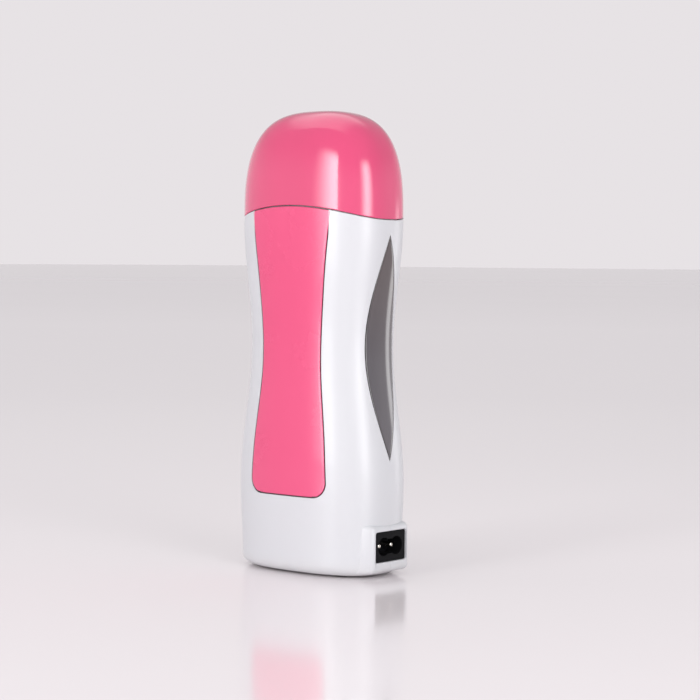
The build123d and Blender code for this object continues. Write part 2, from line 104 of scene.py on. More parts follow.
def reach(angle):
    power = form["ovalPower"]
    return (abs(cos(angle)) ** power + abs(sin(angle)) ** power) ** (-1 / power)


def skinPoint(z, angle, inset=0.0, scale=1.0):
    # a point on the oval at a height, measured round from +X towards +Y
    halfX, halfY = halfSizes(z)
    out = reach(angle) * scale
    return Vector(((halfX - inset) * cos(angle) * out, (halfY - inset) * sin(angle) * out, z))


def angleAcross(z, x):
    # where round the oval a distance across lies, on the +Y side
    share = min(abs(x) / halfSizes(z)[0], 1)
    rest = (1 - share ** form["ovalPower"]) ** (1 / form["ovalPower"])
    return atan2(rest, share)


def angleDeep(z, y):
    # where round the oval a distance from the parting line lies, on the +X side
    share = min(abs(y) / halfSizes(z)[1], 1)
    rest = (1 - share ** form["ovalPower"]) ** (1 / form["ovalPower"])
    return atan2(share, rest)


def jointHeight(angle):
    x = form["shoulderHalf"][0] * cos(angle) * reach(angle)
    return form["jointCrest"] - form["jointDroop"] * (x / form["shoulderHalf"][0]) ** 2


def span(low, high, count):
    return [low + (high - low) * step / count for step in range(count)]


def mappedGrid(columns, rows, place, shaded=None):
    # a grid whose corners are moved onto the object by column and row number
    bm = bmesh.new()
    bmesh.ops.create_grid(bm, x_segments=columns, y_segments=rows, size=0.5)
    # this layer carries painted shade for the seams, the panel's bed, the ledge under the cap and the
    # lens borders
    paintedShade = bm.verts.layers.float.new("paintedShade")
    for vertex in bm.verts:
        column = round((vertex.co.x + 0.5) * columns)
        row = round((vertex.co.y + 0.5) * rows)
        vertex.co = place(column, row)
        vertex[paintedShade] = shaded(column, row) if shaded else 0.0
    bmesh.ops.remove_doubles(bm, verts=bm.verts, dist=mergeDistance)
    return bm


def faceOutwards(bm, centre):
    # turns an open skin so that it faces away from a centre
    bmesh.ops.recalc_face_normals(bm, faces=bm.faces)
    outward = 0.0
    for face in bm.faces:
        outward += (face.calc_center_median() - centre).dot(face.normal) * face.calc_area()
    if outward < 0:
        bmesh.ops.reverse_faces(bm, faces=bm.faces)


def newPiece(name, bm, material, body, replaced):
    mesh = bpy.data.meshes.new(name)
    bm.to_mesh(mesh)
    bm.free()
    mesh.polygons.foreach_set("use_smooth", [True] * len(mesh.polygons))
    piece = bpy.data.objects.new(name, mesh)
    bpy.context.scene.collection.objects.link(piece)
    piece.data.materials.append(material)
    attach(piece, body)
    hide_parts(*replaced)
    return piece


def addWall(piece, thickness, even=True):
    wall = piece.modifiers.new("wall", "SOLIDIFY")
    wall.thickness = thickness
    wall.offset = -1
    wall.use_even_offset = even


def softenEdges(piece, width, segments=2, angle=38):
    bevel = piece.modifiers.new("softEdges", "BEVEL")
    bevel.width = width
    bevel.segments = segments
    bevel.profile = 0.5
    bevel.limit_method = "ANGLE"
    bevel.angle_limit = radians(angle)
    bevel.harden_normals = True


def carve(piece, cutters, material):
    # cuts holes through a piece and keeps the result as a plain mesh
    for cutter in cutters:
        cut = piece.modifiers.new("cut", "BOOLEAN")
        cut.object = cutter
        cut.operation = "DIFFERENCE"
        cut.solver = "EXACT"
        cut.use_self = True
    bpy.context.view_layer.update()
    graph = bpy.context.evaluated_depsgraph_get()
    result = bpy.data.meshes.new_from_object(piece.evaluated_get(graph))
    piece.modifiers.clear()
    piece.data = result
    result.materials.clear()
    result.materials.append(material)
    for cutter in cutters:
        bpy.data.objects.remove(cutter)


def cutterFrom(bm):
    mesh = bpy.data.meshes.new("cutter")
    bm.to_mesh(mesh)
    bm.free()
    cutter = bpy.data.objects.new("cutter", mesh)
    bpy.context.scene.collection.objects.link(cutter)
    return cutter


def turned(profile, turn, segments=48):
    # spins an outline of (radius, height) points about its own axis, then places it
    bm = bmesh.new()
    corners = [bm.verts.new((radius, 0, height)) for radius, height in profile]
    edges = [bm.edges.new(pair) for pair in zip(corners, corners[1:])]
    bmesh.ops.spin(bm, geom=corners + edges, cent=(0, 0, 0), axis=(0, 0, 1), angle=2 * pi,
                   steps=segments, use_merge=True)
    bmesh.ops.remove_doubles(bm, verts=bm.verts, dist=mergeDistance)
    bmesh.ops.recalc_face_normals(bm, faces=bm.faces)
    bmesh.ops.transform(bm, matrix=turn, verts=bm.verts)
    return bm


def roundedBox(low, high, radius, axis, segments=5):
    # a box with rounded edges along one axis
    bm = bmesh.new()
    bmesh.ops.create_cube(bm, size=1)
    size = Vector(high) - Vector(low)
    bmesh.ops.scale(bm, vec=size, verts=bm.verts)
    bmesh.ops.translate(bm, vec=(Vector(high) + Vector(low)) / 2, verts=bm.verts)
    along = []
    for edge in bm.edges:
        first, second = edge.verts
        if abs((first.co - second.co).normalized()[axis]) > 0.9:
            along.append(edge)
    bmesh.ops.bevel(bm, geom=along, offset=radius, segments=segments, profile=0.5, affect="EDGES",
                    material=-1)
    return bm


class Value:
    # one output of a shader node, so that shader maths reads as plain arithmetic
    def __init__(self, shading, socket):
        self.shading = shading
        self.socket = socket

    def maths(self, operation, first, second=0.0):
        return self.shading.node("ShaderNodeMath", {"operation": operation}, {0: first, 1: second})

    def __add__(self, other):
        return self.maths("ADD", self, other)

    def __radd__(self, other):
        return self.maths("ADD", other, self)

    def __sub__(self, other):
        return self.maths("SUBTRACT", self, other)

    def __rsub__(self, other):
        return self.maths("SUBTRACT", other, self)

    def __mul__(self, other):
        return self.maths("MULTIPLY", self, other)

    def __rmul__(self, other):
        return self.maths("MULTIPLY", other, self)


class Shading:
    # a node tree, with one method that adds any node to it
    def __init__(self, tree):
        self.tree = tree

    def node(self, kind, settings=None, values=None, output=0):
        made = self.tree.nodes.new(kind)
        for key, setting in (settings or {}).items():
            setattr(made, key, setting)
        for key, value in (values or {}).items():
            if isinstance(value, Value):
                self.tree.links.new(value.socket, made.inputs[key])
            else:
                made.inputs[key].default_value = value
        return Value(self, made.outputs[output])

    def ramp(self, value, low, high):
        # 0 at the low value, 1 at the high one, and smooth between them
        return self.node("ShaderNodeMapRange", {"interpolation_type": "SMOOTHSTEP"},
                         {"Value": value, "From Min": low, "From Max": high})

    def split(self, vector, part):
        return self.node("ShaderNodeSeparateXYZ", None, {0: vector}, output=part)

    def mix(self, factor, first, second):
        values = {0: factor, 6: first, 7: second}
        return self.node("ShaderNodeMix", {"data_type": "RGBA"}, values, output=2)


class Paint(Shading):
    # one material and the nodes behind it
    def __init__(self, name):
        self.material = bpy.data.materials.new(name)
        self.material.use_nodes = True
        super().__init__(self.material.node_tree)
        self.shader = self.tree.nodes["Principled BSDF"]
        self.place = self.node("ShaderNodeTexCoord", output="Object")

    def set(self, **sockets):
        # fills the shader's own sockets, with Base_Color standing for Base Color
        for key, value in sockets.items():
            socket = self.shader.inputs[key.replace("_", " ")]
            if isinstance(value, Value):
                self.tree.links.new(value.socket, socket)
            else:
                socket.default_value = value

    def noise(self, scale, detail=2.0, roughness=0.5, stretch=None):
        where = self.place
        if stretch:
            where = self.node("ShaderNodeMapping", None, {"Vector": self.place, "Scale": stretch})
        return self.node("ShaderNodeTexNoise", None,
                         {"Vector": where, "Scale": scale, "Detail": detail, "Roughness": roughness})

    def height(self):
        return self.split(self.place, "Z")

    def bump(self, value, depth):
        return self.node("ShaderNodeBump", None, {"Height": value, "Distance": depth})


def colour(red, green, blue):
    return red, green, blue, 1.0


def mouldedPlastic(name, finish):
    # glossy moulded plastic: faint flow shading, painted shade in seams and recesses, a slight ripple in
    # the gloss and fine rub marks
    paint = Paint(name)
    flow = paint.noise(finish["flowScale"], 3.0, 0.5, (1.0, 1.0, 0.35))
    ripple = paint.noise(finish["rippleScale"], 2.0)
    grain = paint.noise(finish["grainScale"], 3.0)
    handled = paint.ramp(paint.noise(finish["handledScale"], 3.0), 0.45, 0.75)
    foot = 1 - paint.ramp(paint.height(), 0.001, 0.009)
    # painted shade in seams and recesses, read from the mesh layer
    paintedShade = paint.node("ShaderNodeAttribute", {"attribute_name": "paintedShade"}, output="Fac")
    shade = paint.mix(flow, finish["deep"], finish["light"])
    dusted = paint.mix(foot * finish["footDust"], shade, finish["dust"])
    rubbed = handled * grain * finish["rubDull"]
    paint.set(Base_Color=paint.mix(paintedShade * finish["seamDark"], dusted, finish["seamShade"]),
              Roughness=finish["roughness"] + flow * 0.03 + rubbed + foot * 0.1,
              IOR=1.49, Coat_Weight=finish["coat"], Coat_Roughness=0.06,
              Normal=paint.bump(ripple + grain * 0.15, finish["rippleDepth"]))
    return paint.material


whiteFinish = {
    "light": colour(0.640, 0.645, 0.672),
    "deep": colour(0.618, 0.624, 0.652),
    "dust": colour(0.60, 0.59, 0.58),
    # colour and strength of the painted shade in the seams and the panel's bed
    "seamShade": colour(0.10, 0.045, 0.055),
    "seamDark": 0.92,
    "flowScale": 30.0,
    "rippleScale": 160.0,
    "rippleDepth": 0.000012,
    "grainScale": 2600.0,
    "rubDull": 0.12,
    "handledScale": 34.0,
    "roughness": 0.30,
    "coat": 0.12,
    "footDust": 0.30,
}
pinkFinish = dict(whiteFinish, light=colour(0.70, 0.068, 0.185), deep=colour(0.665, 0.060, 0.167),
                  roughness=0.13, coat=0.9, footDust=0.0, rippleDepth=0.000006)
panelFinish = dict(pinkFinish, light=colour(0.775, 0.085, 0.215), deep=colour(0.74, 0.076, 0.197),
                   roughness=0.24, coat=0.4)
whitePlastic = mouldedPlastic("glossWhitePlastic", whiteFinish)
pinkPlastic = mouldedPlastic("glossPinkPlastic", pinkFinish)
panelPlastic = mouldedPlastic("satinPinkPlastic", panelFinish)


smokedFinish = {
    "light": colour(0.108, 0.098, 0.112),
    "deep": colour(0.066, 0.060, 0.069),
    "warm": colour(0.088, 0.062, 0.056),
    "warmShare": 0.6,
    "warmHeights": (0.085, 0.150),
    # colour and strength of the painted shade along the lens border
    "edge": colour(0.010, 0.008, 0.010),
    "edgeDark": 0.9,
    "cloudScale": 45.0,
    "grainScale": 2400.0,
    "rippleScale": 170.0,
    "rippleDepth": 0.000008,
    "roughness": 0.10,
}


def smokedPlastic(finish):
    # dark lens: brownish towards the top, with painted shade along its border where it meets the
    # housing, faint clouds and rub marks
    paint = Paint("smokedLensPlastic")
    cloud = paint.noise(finish["cloudScale"], 3.0, 0.5, (1.0, 1.0, 0.3))
    grain = paint.noise(finish["grainScale"], 3.0)
    warm = paint.ramp(paint.height(), *finish["warmHeights"])
    cool = paint.mix(cloud, finish["deep"], finish["light"])
    warmed = paint.mix(warm * finish["warmShare"], cool, finish["warm"])
    # painted shade along the lens border, read from the mesh layer
    edge = paint.node("ShaderNodeAttribute", {"attribute_name": "paintedShade"}, output="Fac")
    paint.set(Base_Color=paint.mix(edge * finish["edgeDark"], warmed, finish["edge"]),
              Roughness=finish["roughness"] + grain * 0.06 + cloud * 0.03, IOR=1.5,
              Coat_Weight=1.0, Coat_Roughness=0.05,
              Normal=paint.bump(paint.noise(finish["rippleScale"]), finish["rippleDepth"]))
    return paint.material


def plainFinish(name, light, deep, roughness, metallic=0.0, grain=1500.0, grainDepth=0.00003,
                stretch=None, spread=0.1, specular=0.5):
    # a small part's finish: two shades, a grain in the gloss and a fine relief
    paint = Paint(name)
    patches = paint.noise(120.0, 4.0)
    fine = paint.noise(grain, 3.0, 0.6, stretch)
    paint.set(Base_Color=paint.mix(patches, colour(*deep), colour(*light)), Metallic=metallic,
              Roughness=roughness + (fine - 0.5) * spread + patches * 0.05,
              Specular_IOR_Level=specular, Normal=paint.bump(fine, grainDepth))
    return paint.material


materials = {
    "white_housing": whitePlastic,
    "pink_plastic": pinkPlastic,
    "smoked_window": smokedPlastic(smokedFinish),
    "black_plastic": plainFinish("satinBlackPlastic", (0.010, 0.010, 0.011), (0.006, 0.006, 0.007),
                                 0.30, grain=2500.0, grainDepth=0.00002, specular=0.05),
    "liner_plastic": plainFinish("linerPlastic", (0.72, 0.71, 0.68), (0.64, 0.63, 0.60), 0.48),
    "aluminium": plainFinish("drawnAluminium", (0.80, 0.80, 0.81), (0.70, 0.70, 0.72), 0.30, 1.0,
                             stretch=(1.0, 1.0, 0.04), spread=0.2),
    "plated_steel": plainFinish("zincPlatedSteel", (0.66, 0.66, 0.65), (0.54, 0.54, 0.55), 0.30, 1.0,
                                spread=0.2),
    "nickel": plainFinish("nickelPlate", (0.78, 0.74, 0.68), (0.70, 0.66, 0.60), 0.18, 1.0,
                          grainDepth=0.00001),
    "ceramic": plainFinish("firedCeramic", (0.34, 0.32, 0.31), (0.26, 0.25, 0.24), 0.62),
    "film": plainFinish("amberFilm", (0.58, 0.30, 0.05), (0.48, 0.23, 0.03), 0.16),
    "sleeve": plainFinish("wovenSleeve", (0.82, 0.80, 0.74), (0.62, 0.60, 0.55), 0.75, grain=2200.0,
                          grainDepth=0.0002, stretch=(1.0, 3.0, 1.0)),
    "lead_brown": plainFinish("brownInsulation", (0.20, 0.085, 0.035), (0.16, 0.065, 0.028), 0.42),
    "lead_blue": plainFinish("blueInsulation", (0.03, 0.11, 0.42), (0.025, 0.09, 0.35), 0.42),
    "lead_white": plainFinish("whiteInsulation", (0.78, 0.78, 0.76), (0.70, 0.70, 0.68), 0.42),
    "rubber": plainFinish("footRubber", (0.030, 0.030, 0.031), (0.020, 0.020, 0.021), 0.70,
                          grainDepth=0.0001),
}
slotOf = {part["node"]: part["material_slot"] for part in frame["record"]["subparts"]}
for name, node in nodes.items():
    for index in range(len(node.material_slots)):
        node.material_slots[index].material = materials[slotOf[name]]
print("materials ready:", len(materials))

# Housing halves
housing = {
    "wall": 0.0020,
    "baseRound": 0.0048,
    "windowGap": 0.00025,
    "windowLow": 0.0518,
    "windowHigh": 0.1527,
    "windowHalf": 0.0094,
    "bedDepth": 0.0013,
    "lipDepth": 0.00045,  # the bed's wall carries painted shade from here down
    "seam": 0.00042,
    # strength of the painted shade on the ledge under the cap
    "ledgeShade": 0.2,
    "panelBottom": panelLow.z,
    "panelCorner": 0.0070,
    "neckInset": 0.0023,
    "neckTop": shellHigh.z,
    "leadIn": 0.0005,
    "sideColumns": 40,
    "panelColumns": 30,
    "screwHoles": ((0.0280, 0.0320), (0.0336, 0.1575)),
    "screwHoleRadius": 0.0024,
    "screwSeat": 0.0070,
    "screwShank": 0.0015,
    "wellWall": 0.0008,
    "wellSink": 0.0010,
    "rows": {"flat": 5, "round": 8, "trunk": 18, "corner": 16, "low": 9, "window": 84, "edge": 7},
    "neckShares": (0.05, 0.3, 0.6, 1.0),  # the first stands just off the ledge, clear of its painted shade
}
# height and half width of the panel, narrowest at the third
panelWidths = [
    (panelLow.z, 0.0225),
    (0.058, 0.0211),
    (0.099, 0.0172),
    (0.128, 0.0189),
    (0.1654, 0.0234),
]
panelWaist = 2


def windowReach(z, grow=0.0):
    # how far a window's edge stands from the parting line at a height
    low, high = housing["windowLow"] - grow, housing["windowHigh"] + grow
    half = housing["windowHalf"] + grow
    if not low < z < high:
        return 0.0
    tall = (high - low) / 2
    radius = (tall ** 2 + half ** 2) / (2 * half)
    return max(sqrt(radius ** 2 - (z - (low + high) / 2) ** 2) - (radius - half), 0.0)


def panelReach(z, grow=0.0):
    # half width of the panel at a height: a smooth hourglass with rounded bottom corners
    places = panelWidths
    index = max(i for i in range(len(places) - 1) if places[i][0] <= max(z, places[0][0]))
    slopes = []
    for i in range(len(places)):
        before, after = places[max(i - 1, 0)], places[min(i + 1, len(places) - 1)]
        slopes.append((after[1] - before[1]) / (after[0] - before[0]))
    slopes[panelWaist] = 0.0
    (low, lowHalf), (high, highHalf) = places[index], places[index + 1]
    length = high - low
    share = min(max((z - low) / length, 0), 1)
    square, cube = share ** 2, share ** 3
    half = ((2 * cube - 3 * square + 1) * lowHalf + (cube - 2 * square + share) * length * slopes[index]
            + (3 * square - 2 * cube) * highHalf + (cube - square) * length * slopes[index + 1])
    corner = housing["panelCorner"] + grow
    rise = min(max(z - (housing["panelBottom"] - grow), 0), corner)
    return half + grow - (corner - sqrt(corner ** 2 - (corner - rise) ** 2))


def cornerRows(low, corner, count):
    # heights that follow a rounded corner evenly
    return [low + corner * (1 - cos(step / count * pi / 2)) for step in range(count)]


def shellRows():
    # each row: (kind, height or share, inset, scale)
    low = shellLow.z
    round_ = housing["baseRound"]
    bedLow = housing["panelBottom"] - housing["seam"]
    gap = housing["windowGap"]
    count = housing["rows"]
    rows = [("flat", low, round_, step / count["flat"]) for step in range(count["flat"])]
    for step in range(count["round"]):
        turn = step / count["round"] * pi / 2
        rows.append(("trunk", low + round_ * (1 - cos(turn)), round_ * (1 - sin(turn)), 1.0))
    rows += [("trunk", z, 0.0, 1.0) for z in span(low + round_, bedLow, count["trunk"])]
    rows.append(("trunk", bedLow, 0.0, 1.0))
    cornerTop = bedLow + housing["panelCorner"] + housing["seam"]
    rows.append(("lip", bedLow, 0.0, 1.0))
    windowLow, windowHigh = housing["windowLow"] - gap, housing["windowHigh"] + gap
    bedHeights = cornerRows(bedLow, cornerTop - bedLow, count["corner"])
    bedHeights += span(cornerTop, windowLow, count["low"])
    bedHeights += span(windowLow, windowHigh, count["window"])
    rows += [("bed", z, 0.0, 1.0) for z in bedHeights]
    rows += [("edge", share, 0.0, 1.0) for share in span(0, 1, count["edge"])]
    rows.append(("edge", 1.0, 0.0, 1.0))
    rows.append(("ledge", 0.0, housing["neckInset"], 1.0))
    rows += [("neck", share, housing["neckInset"], 1.0) for share in housing["neckShares"]]
    rows.append(("rim", 1.0, housing["neckInset"] + housing["leadIn"], 1.0))
    return rows


def shellGrid(facing, withPanel):
    rows = shellRows()
    side, middle = housing["sideColumns"], housing["panelColumns"]
    columns = 2 * side + middle + 4
    bedLow = housing["panelBottom"] - housing["seam"]
    edgeFrom = housing["windowHigh"] + housing["windowGap"]
    depths = {"skin": 0.0, "lip": housing["lipDepth"], "bed": housing["bedDepth"]}

    def zoneOf(column):
        # skin beside the panel's bed, the lip of its wall, or the bed itself
        if not withPanel or not side < column < side + 4 + middle:
            return "skin"
        return "lip" if column in (side + 1, side + 3 + middle) else "bed"

    def place(column, row):
        kind, value, inset, scale = rows[row]
        z = value if kind in ("flat", "trunk", "lip", "bed") else edgeFrom
        nominal = max(z, shellLow.z + housing["baseRound"])
        first = angleDeep(nominal, windowReach(nominal, housing["windowGap"]))
        panelAngle = angleAcross(nominal, panelReach(max(nominal, bedLow), housing["seam"]))
        zone = zoneOf(column)
        if not withPanel:
            angle = first + (pi - 2 * first) * column / columns
        elif column <= side:
            angle = first + (panelAngle - first) * column / side
        elif column >= side + 4 + middle:
            angle = pi - first - (panelAngle - first) * (columns - column) / side
        else:
            across = min(max(column - side - 2, 0), middle) / middle
            angle = panelAngle + (pi - 2 * panelAngle) * across
        if kind in ("edge", "ledge", "neck", "rim"):
            joint = jointHeight(angle)
            if kind == "edge":
                z = edgeFrom + (joint - edgeFrom) * value
            elif kind == "ledge":
                z = joint
            elif kind == "neck":
                z = joint + (housing["neckTop"] - housing["leadIn"] - joint) * value
            else:
                z = housing["neckTop"]
        if kind in ("bed", "edge"):
            inset = depths[zone]
        elif kind == "lip" and zone != "skin":
            inset = housing["lipDepth"]
        return skinPoint(z, facing * angle, inset, scale)

    def shaded(column, row):
        # painted shade in the panel's bed and, fainter, on the ledge under the cap
        kind = rows[row][0]
        if kind == "ledge":
            return housing["ledgeShade"]
        return 1.0 if zoneOf(column) != "skin" and kind in ("lip", "bed", "edge") else 0.0

    bm = mappedGrid(columns, len(rows) - 1, place, shaded)
    faceOutwards(bm, Vector((0, 0, (shellLow.z + shellHigh.z) / 2)))
    return bm


def inletOpening():
    # the hole through wall and block that the inlet's body sits in
    gap = socket["gap"]
    low = (block["root"] - block["clear"], -socket["half"] - gap, socket["low"] - gap)
    high = (block["face"] + block["clear"], socket["half"] + gap, socket["high"] + gap)
    return cutterFrom(roundedBox(low, high, socket["corner"] + gap, 0))


def screwHole(across, up):
    radius = housing["screwHoleRadius"]
    turn = Matrix.Translation((across, shellHigh.z, up)) @ Matrix.Rotation(pi / 2, 4, "X")
    length = shellHigh.z - housing["screwSeat"]
    return cutterFrom(turned([(0, 0), (radius, 0), (radius, length), (0, length)], turn))


block = {
    "face": shellHigh.x,
    "root": 0.0330,
    "half": 0.0126,
    "bottom": 0.0027,
    "top": 0.0234,
    "flare": 0.3,
    "rise": 0.16,
    "round": 0.0020,
    "clear": 0.0100,
}
socket = {
    "lobe": 0.00415,
    "neck": 0.0066,
    "spacing": 0.0086,
    "recess": 0.0110,
    "corner": 0.0008,
    "half": 0.0103,
    "low": 0.00735,
    "high": 0.02065,
    "gap": 0.0002,
    "barCorner": 0.0003,
    "clear": 0.0050,
    "collarThickness": 0.0020,
    "softEdge": 0.00025,
}
screwSpots = [(side * across, up) for across, up in housing["screwHoles"] for side in (-1, 1)]
for name, facing, node in (("frontHousing", -1, "front_shell"), ("backHousing", 1, "back_shell")):
    half = newPiece(name, shellGrid(facing, facing < 0), whitePlastic, "body", [node])
    addWall(half, housing["wall"], even=False)
    holes = [screwHole(*spot) for spot in screwSpots] if facing > 0 else []
    carve(half, [inletOpening()] + holes, whitePlastic)
    softenEdges(half, form["softEdge"])
for number, (across, up) in enumerate(screwSpots, 1):
    inner, seat = housing["screwHoleRadius"], housing["screwSeat"]
    wide, hole, outer = inner + housing["wellWall"], housing["screwShank"], shellHigh.y
    turn = Matrix.Translation((across, 0, up)) @ Matrix.Rotation(-pi / 2, 4, "X")
    tube = turned([(inner, outer), (inner, seat), (hole, seat), (hole, seat - housing["wellWall"]),
                   (wide, seat - housing["wellWall"]), (wide, outer), (inner, outer)], turn)
    for vertex in tube.verts:
        skin = skinPoint(vertex.co.z, angleAcross(vertex.co.z, vertex.co.x)).y
        vertex.co.y = min(vertex.co.y, skin - housing["wellSink"])
    newPiece(f"screwWell{number}", tube, whitePlastic, "body", ["back_shell"])
print("housing halves ready")

# Pink panel in its bed
panel = {
    "thickness": 0.0012,
    "columns": 34,
    "rows": 110,
    "cornerRows": 16,
    # the rounded border: distance in from the edge, depth below the skin, painted shade
    "border": (
        (0.0, 0.00046, 1.0),
        (0.00005, 0.00020, 0.8),
        (0.00020, 0.00005, 0.25),
        (0.00046, 0.0, 0.0),
    ),
}


def borderAt(step, last, border):
    # the border's entry for a column or row, counted from whichever end is nearer
    return border[min(step, last - step, len(border) - 1)]


def panelGrid():
    low, corner, border = housing["panelBottom"], housing["panelCorner"], panel["border"]
    inner = border[-1][0]
    heights = [low + entry[0] for entry in border[:-1]]
    heights += cornerRows(low + inner, corner - inner, panel["cornerRows"])
    heights += span(low + corner, form["jointCrest"], panel["rows"])
    heights += [form["jointCrest"]] * len(border)
    lastColumn, lastRow = panel["columns"] + 2 * len(border) - 2, len(heights) - 1
    edgeFrom = housing["windowHigh"]

    def entries(column, row):
        return borderAt(column, lastColumn, border), borderAt(row, lastRow, border)

    def place(column, row):
        side, end = entries(column, row)
        z = heights[row]
        grow = -end[0] if row < len(border) else -side[0]
        edge = angleAcross(z, panelReach(z, grow))
        middle = lastColumn - 2 * len(border) + 2
        across = min(max(column - len(border) + 1, 0), middle) / middle
        angle = edge + (pi - 2 * edge) * across
        if z > edgeFrom:
            top = jointHeight(angle) - (end[0] if row > len(border) else 0.0)
            z = edgeFrom + (top - edgeFrom) * (z - edgeFrom) / (form["jointCrest"] - edgeFrom)
        return skinPoint(z, -angle, max(side[1], end[1]))

    # painted shade along the panel's seam
    def shaded(column, row):
        return max(entry[2] for entry in entries(column, row))

    bm = mappedGrid(lastColumn, lastRow, place, shaded)
    faceOutwards(bm, Vector((0, 0, form["waistHeight"])))
    return bm


frontPanel = newPiece("pinkPanel", panelGrid(), panelPlastic, "body",
                      ["front_panel"])
addWall(frontPanel, panel["thickness"], even=False)

# Smoked windows
lens = {
    "thickness": 0.0018,
    "columns": 26,
    "rows": 120,
    # the border: distance in from the edge, depth below the skin, painted shade where the lens meets the
    # housing
    "border": (
        (0.0, 0.00032, 1.0),
        (0.00012, 0.00008, 0.9),
        (0.00045, 0.0, 0.6),
        (0.00110, 0.0, 0.0),
    ),
}


def lensGrid(side):
    low, high, border = housing["windowLow"], housing["windowHigh"], lens["border"]
    last = lens["columns"] + 2 * len(border) - 2

    def place(column, row):
        share = row / lens["rows"]
        z = low + (high - low) * (ease(share) + share) / 2
        inward, down, _ = borderAt(column, last, border)
        edge = angleDeep(z, max(windowReach(z) - inward, 0))
        middle = last - 2 * len(border) + 2
        across = min(max(column - len(border) + 1, 0), middle) / middle
        depth = down if windowReach(z) > inward else border[0][1]
        point = skinPoint(z, edge * (2 * across - 1), depth)
        return Vector((side * point.x, point.y, point.z))

    def shaded(column, _):
        return borderAt(column, last, border)[2]

    bm = mappedGrid(last, lens["rows"], place, shaded)
    faceOutwards(bm, Vector((0, 0, form["waistHeight"])))
    return bm


windows = (("smokedLensRight", 1, "window_right"), ("smokedLensLeft", -1, "window_left"))
for name, side, node in windows:
    window = newPiece(name, lensGrid(side), materials["smoked_window"], "body",
                      [node])
    addWall(window, lens["thickness"], even=False)
print("panel and windows ready")

# Domed cap: a cube's net drawn onto the dome, so that the top has no pole
cap = {"wall": 0.0020, "gap": 0.0004, "softEdge": 0.0005, "cuts": 59}


def capGrid():
    bm = bmesh.new()
    bmesh.ops.create_cube(bm, size=2)
    bmesh.ops.subdivide_edges(bm, edges=bm.edges, cuts=cap["cuts"], use_grid_fill=True)
    below = [vertex for vertex in bm.verts if vertex.co.z < -1e-5]
    bmesh.ops.delete(bm, geom=below, context="VERTS")
    power = form["crownPower"]
    for vertex in bm.verts:
        ray = Vector([tan(part * pi / 4) for part in vertex.co]).normalized()
        round_ = atan2(ray.y, ray.x)
        edgeUp = (jointHeight(round_) + cap["gap"] - form["shoulderHeight"]) / crownRise
        lean = acos(min(max(ray.z, 0), 1)) / (pi / 2) * atan2(1, edgeUp)
        if lean < pi / 2:
            size = (sin(lean) ** power + cos(lean) ** power) ** (-1 / power)
            up, share = cos(lean) * size, sin(lean) * size
            halfX, halfY = (half * share for half in form["shoulderHalf"])
        else:
            up = cos(lean) / sin(lean)
            halfX, halfY = halfSizes(form["shoulderHeight"] + up * crownRise)
        out = reach(round_)
        top = settle(form["shoulderHeight"] + up * crownRise)
        vertex.co = (halfX * cos(round_) * out, halfY * sin(round_) * out, top)
    faceOutwards(bm, Vector((0, 0, form["shoulderHeight"])))
    return bm


domedCap = newPiece("domedCap", capGrid(), pinkPlastic, "cap", ["cap"])
addWall(domedCap, cap["wall"])
softenEdges(domedCap, cap["softEdge"], 3, 50)
print("cap ready")


# Inlet block, in two halves that part on the same line as the housing
def inletBlock(facing):
    bm = bmesh.new()
    bmesh.ops.create_cube(bm, size=1)
    for vertex in bm.verts:
        back = block["face"] - block["root"] if vertex.co.x < 0 else 0.0
        rise = block["rise"] * back
        vertex.co = (
            block["face"] - back,
            (block["half"] + block["flare"] * back) * (1 if vertex.co.y > 0 else -1),
            block["top"] + rise if vertex.co.z > 0 else block["bottom"] - rise,
        )
    outer = max(bm.faces, key=lambda face: face.calc_center_median().x)
    rim, rimCorners = outer.edges[:], outer.verts[:]
    corners = [edge for edge in bm.edges if edge not in rim and any(v in rimCorners for v in edge.verts)]
    bmesh.ops.bevel(bm, geom=corners + rim, offset=block["round"], segments=4, profile=0.5,
                    affect="EDGES", material=-1)
    halfCut = bmesh.ops.bisect_plane(bm, geom=bm.verts[:] + bm.edges[:] + bm.faces[:],
                                     plane_co=(0, 0, 0), plane_no=(0, -facing, 0), clear_outer=True)
    cutEdges = [item for item in halfCut["geom_cut"] if isinstance(item, bmesh.types.BMEdge)]
    bmesh.ops.holes_fill(bm, edges=cutEdges, sides=0)
    bmesh.ops.recalc_face_normals(bm, faces=bm.faces)
    piece = newPiece("inletBlockFront" if facing < 0 else "inletBlockBack", bm, whitePlastic,
                     "body", ["front_shell" if facing < 0 else "back_shell"])
    carve(piece, [inletOpening()], whitePlastic)
    softenEdges(piece, form["softEdge"], 2, 35)


inletBlock(-1)
inletBlock(1)


